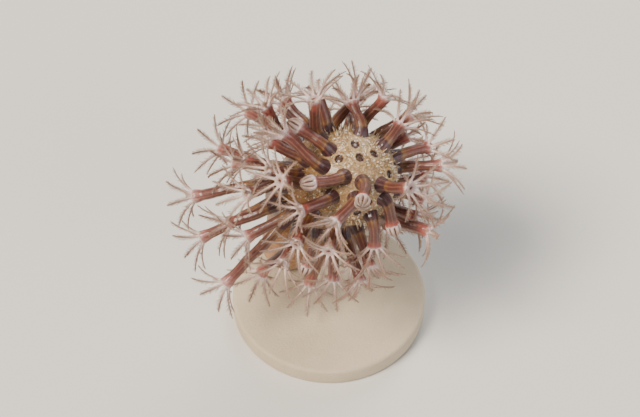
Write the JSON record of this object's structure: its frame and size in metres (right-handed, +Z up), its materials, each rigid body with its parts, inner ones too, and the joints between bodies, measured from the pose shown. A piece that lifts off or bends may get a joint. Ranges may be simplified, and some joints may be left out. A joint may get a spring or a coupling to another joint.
{
  "type": "club-shaped sea pen, expanded",
  "caption": "Club-shaped sea pen with tubular polyps and eight-tentacled crowns, standing on its foot on a flat round display base.",
  "frame": {"origin": "centre of the underside of the display base, on the floor", "axes": "+Z up from the floor through the base; the body leans half towards +X and half towards -Y; the viewer of the picture stands towards -Y and looks along +Y"},
  "size_m": [0.0789, 0.0743, 0.0904],
  "materials": {
    "cast_stone": "matte, fine-grained",
    "stalk_skin": "wet, smooth, finely wrinkled",
    "rachis_skin": "wet, granular, cream with pale flecks",
    "polyp_skin": "wet, satin, striped along its length"
  },
  "bodies": {
    "root": {"stand_base": "cast_stone", "foot_bulb": "stalk_skin", "stalk": "stalk_skin", "rachis_lower": "rachis_skin", "rachis_middle": "rachis_skin", "rachis_upper": "rachis_skin", "rachis_tip": "rachis_skin"}
  },
  "joints": []
}
